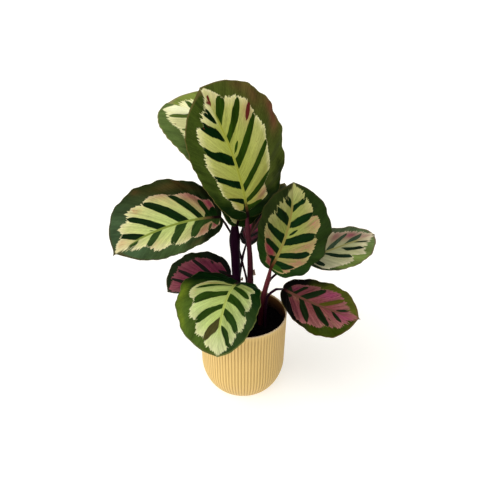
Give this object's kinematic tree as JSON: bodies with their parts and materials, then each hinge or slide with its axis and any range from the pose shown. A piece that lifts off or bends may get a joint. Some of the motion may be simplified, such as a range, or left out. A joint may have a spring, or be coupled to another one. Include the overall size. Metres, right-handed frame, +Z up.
{
  "type": "potted calathea",
  "caption": "Potted rose-painted calathea with upright oval patterned leaves on slim stalks, in soil in a ribbed plastic pot.",
  "frame": {"origin": "middle of the pot's flat underside", "axes": "+Z up along the pot's axis; -Y towards the viewer of the reference view and +X to that viewer's right"},
  "size_m": [0.4121, 0.3071, 0.4975],
  "materials": {
    "pot_plastic": "ochre moulded plastic, matt",
    "potting_soil": "dark crumbly potting soil",
    "leaf": "green leaf with pale bands, satin",
    "young_leaf": "dark green leaf with rose bands, satin",
    "leaf_underside": "wine-purple leaf underside, dull",
    "stalk": "dark purple leaf stalk, satin",
    "dry_sheath": "dry brown sheath scrap"
  },
  "bodies": {
    "root": {"pot": "pot_plastic", "soil": "potting_soil", "leaf_top": "leaf", "leaf_back": "leaf", "leaf_left": "leaf", "leaf_low_left": "young_leaf", "leaf_front": "leaf", "leaf_right": "leaf", "leaf_far_right": "leaf", "leaf_low_right": "young_leaf", "leaf_inner": "leaf"}
  },
  "joints": []
}
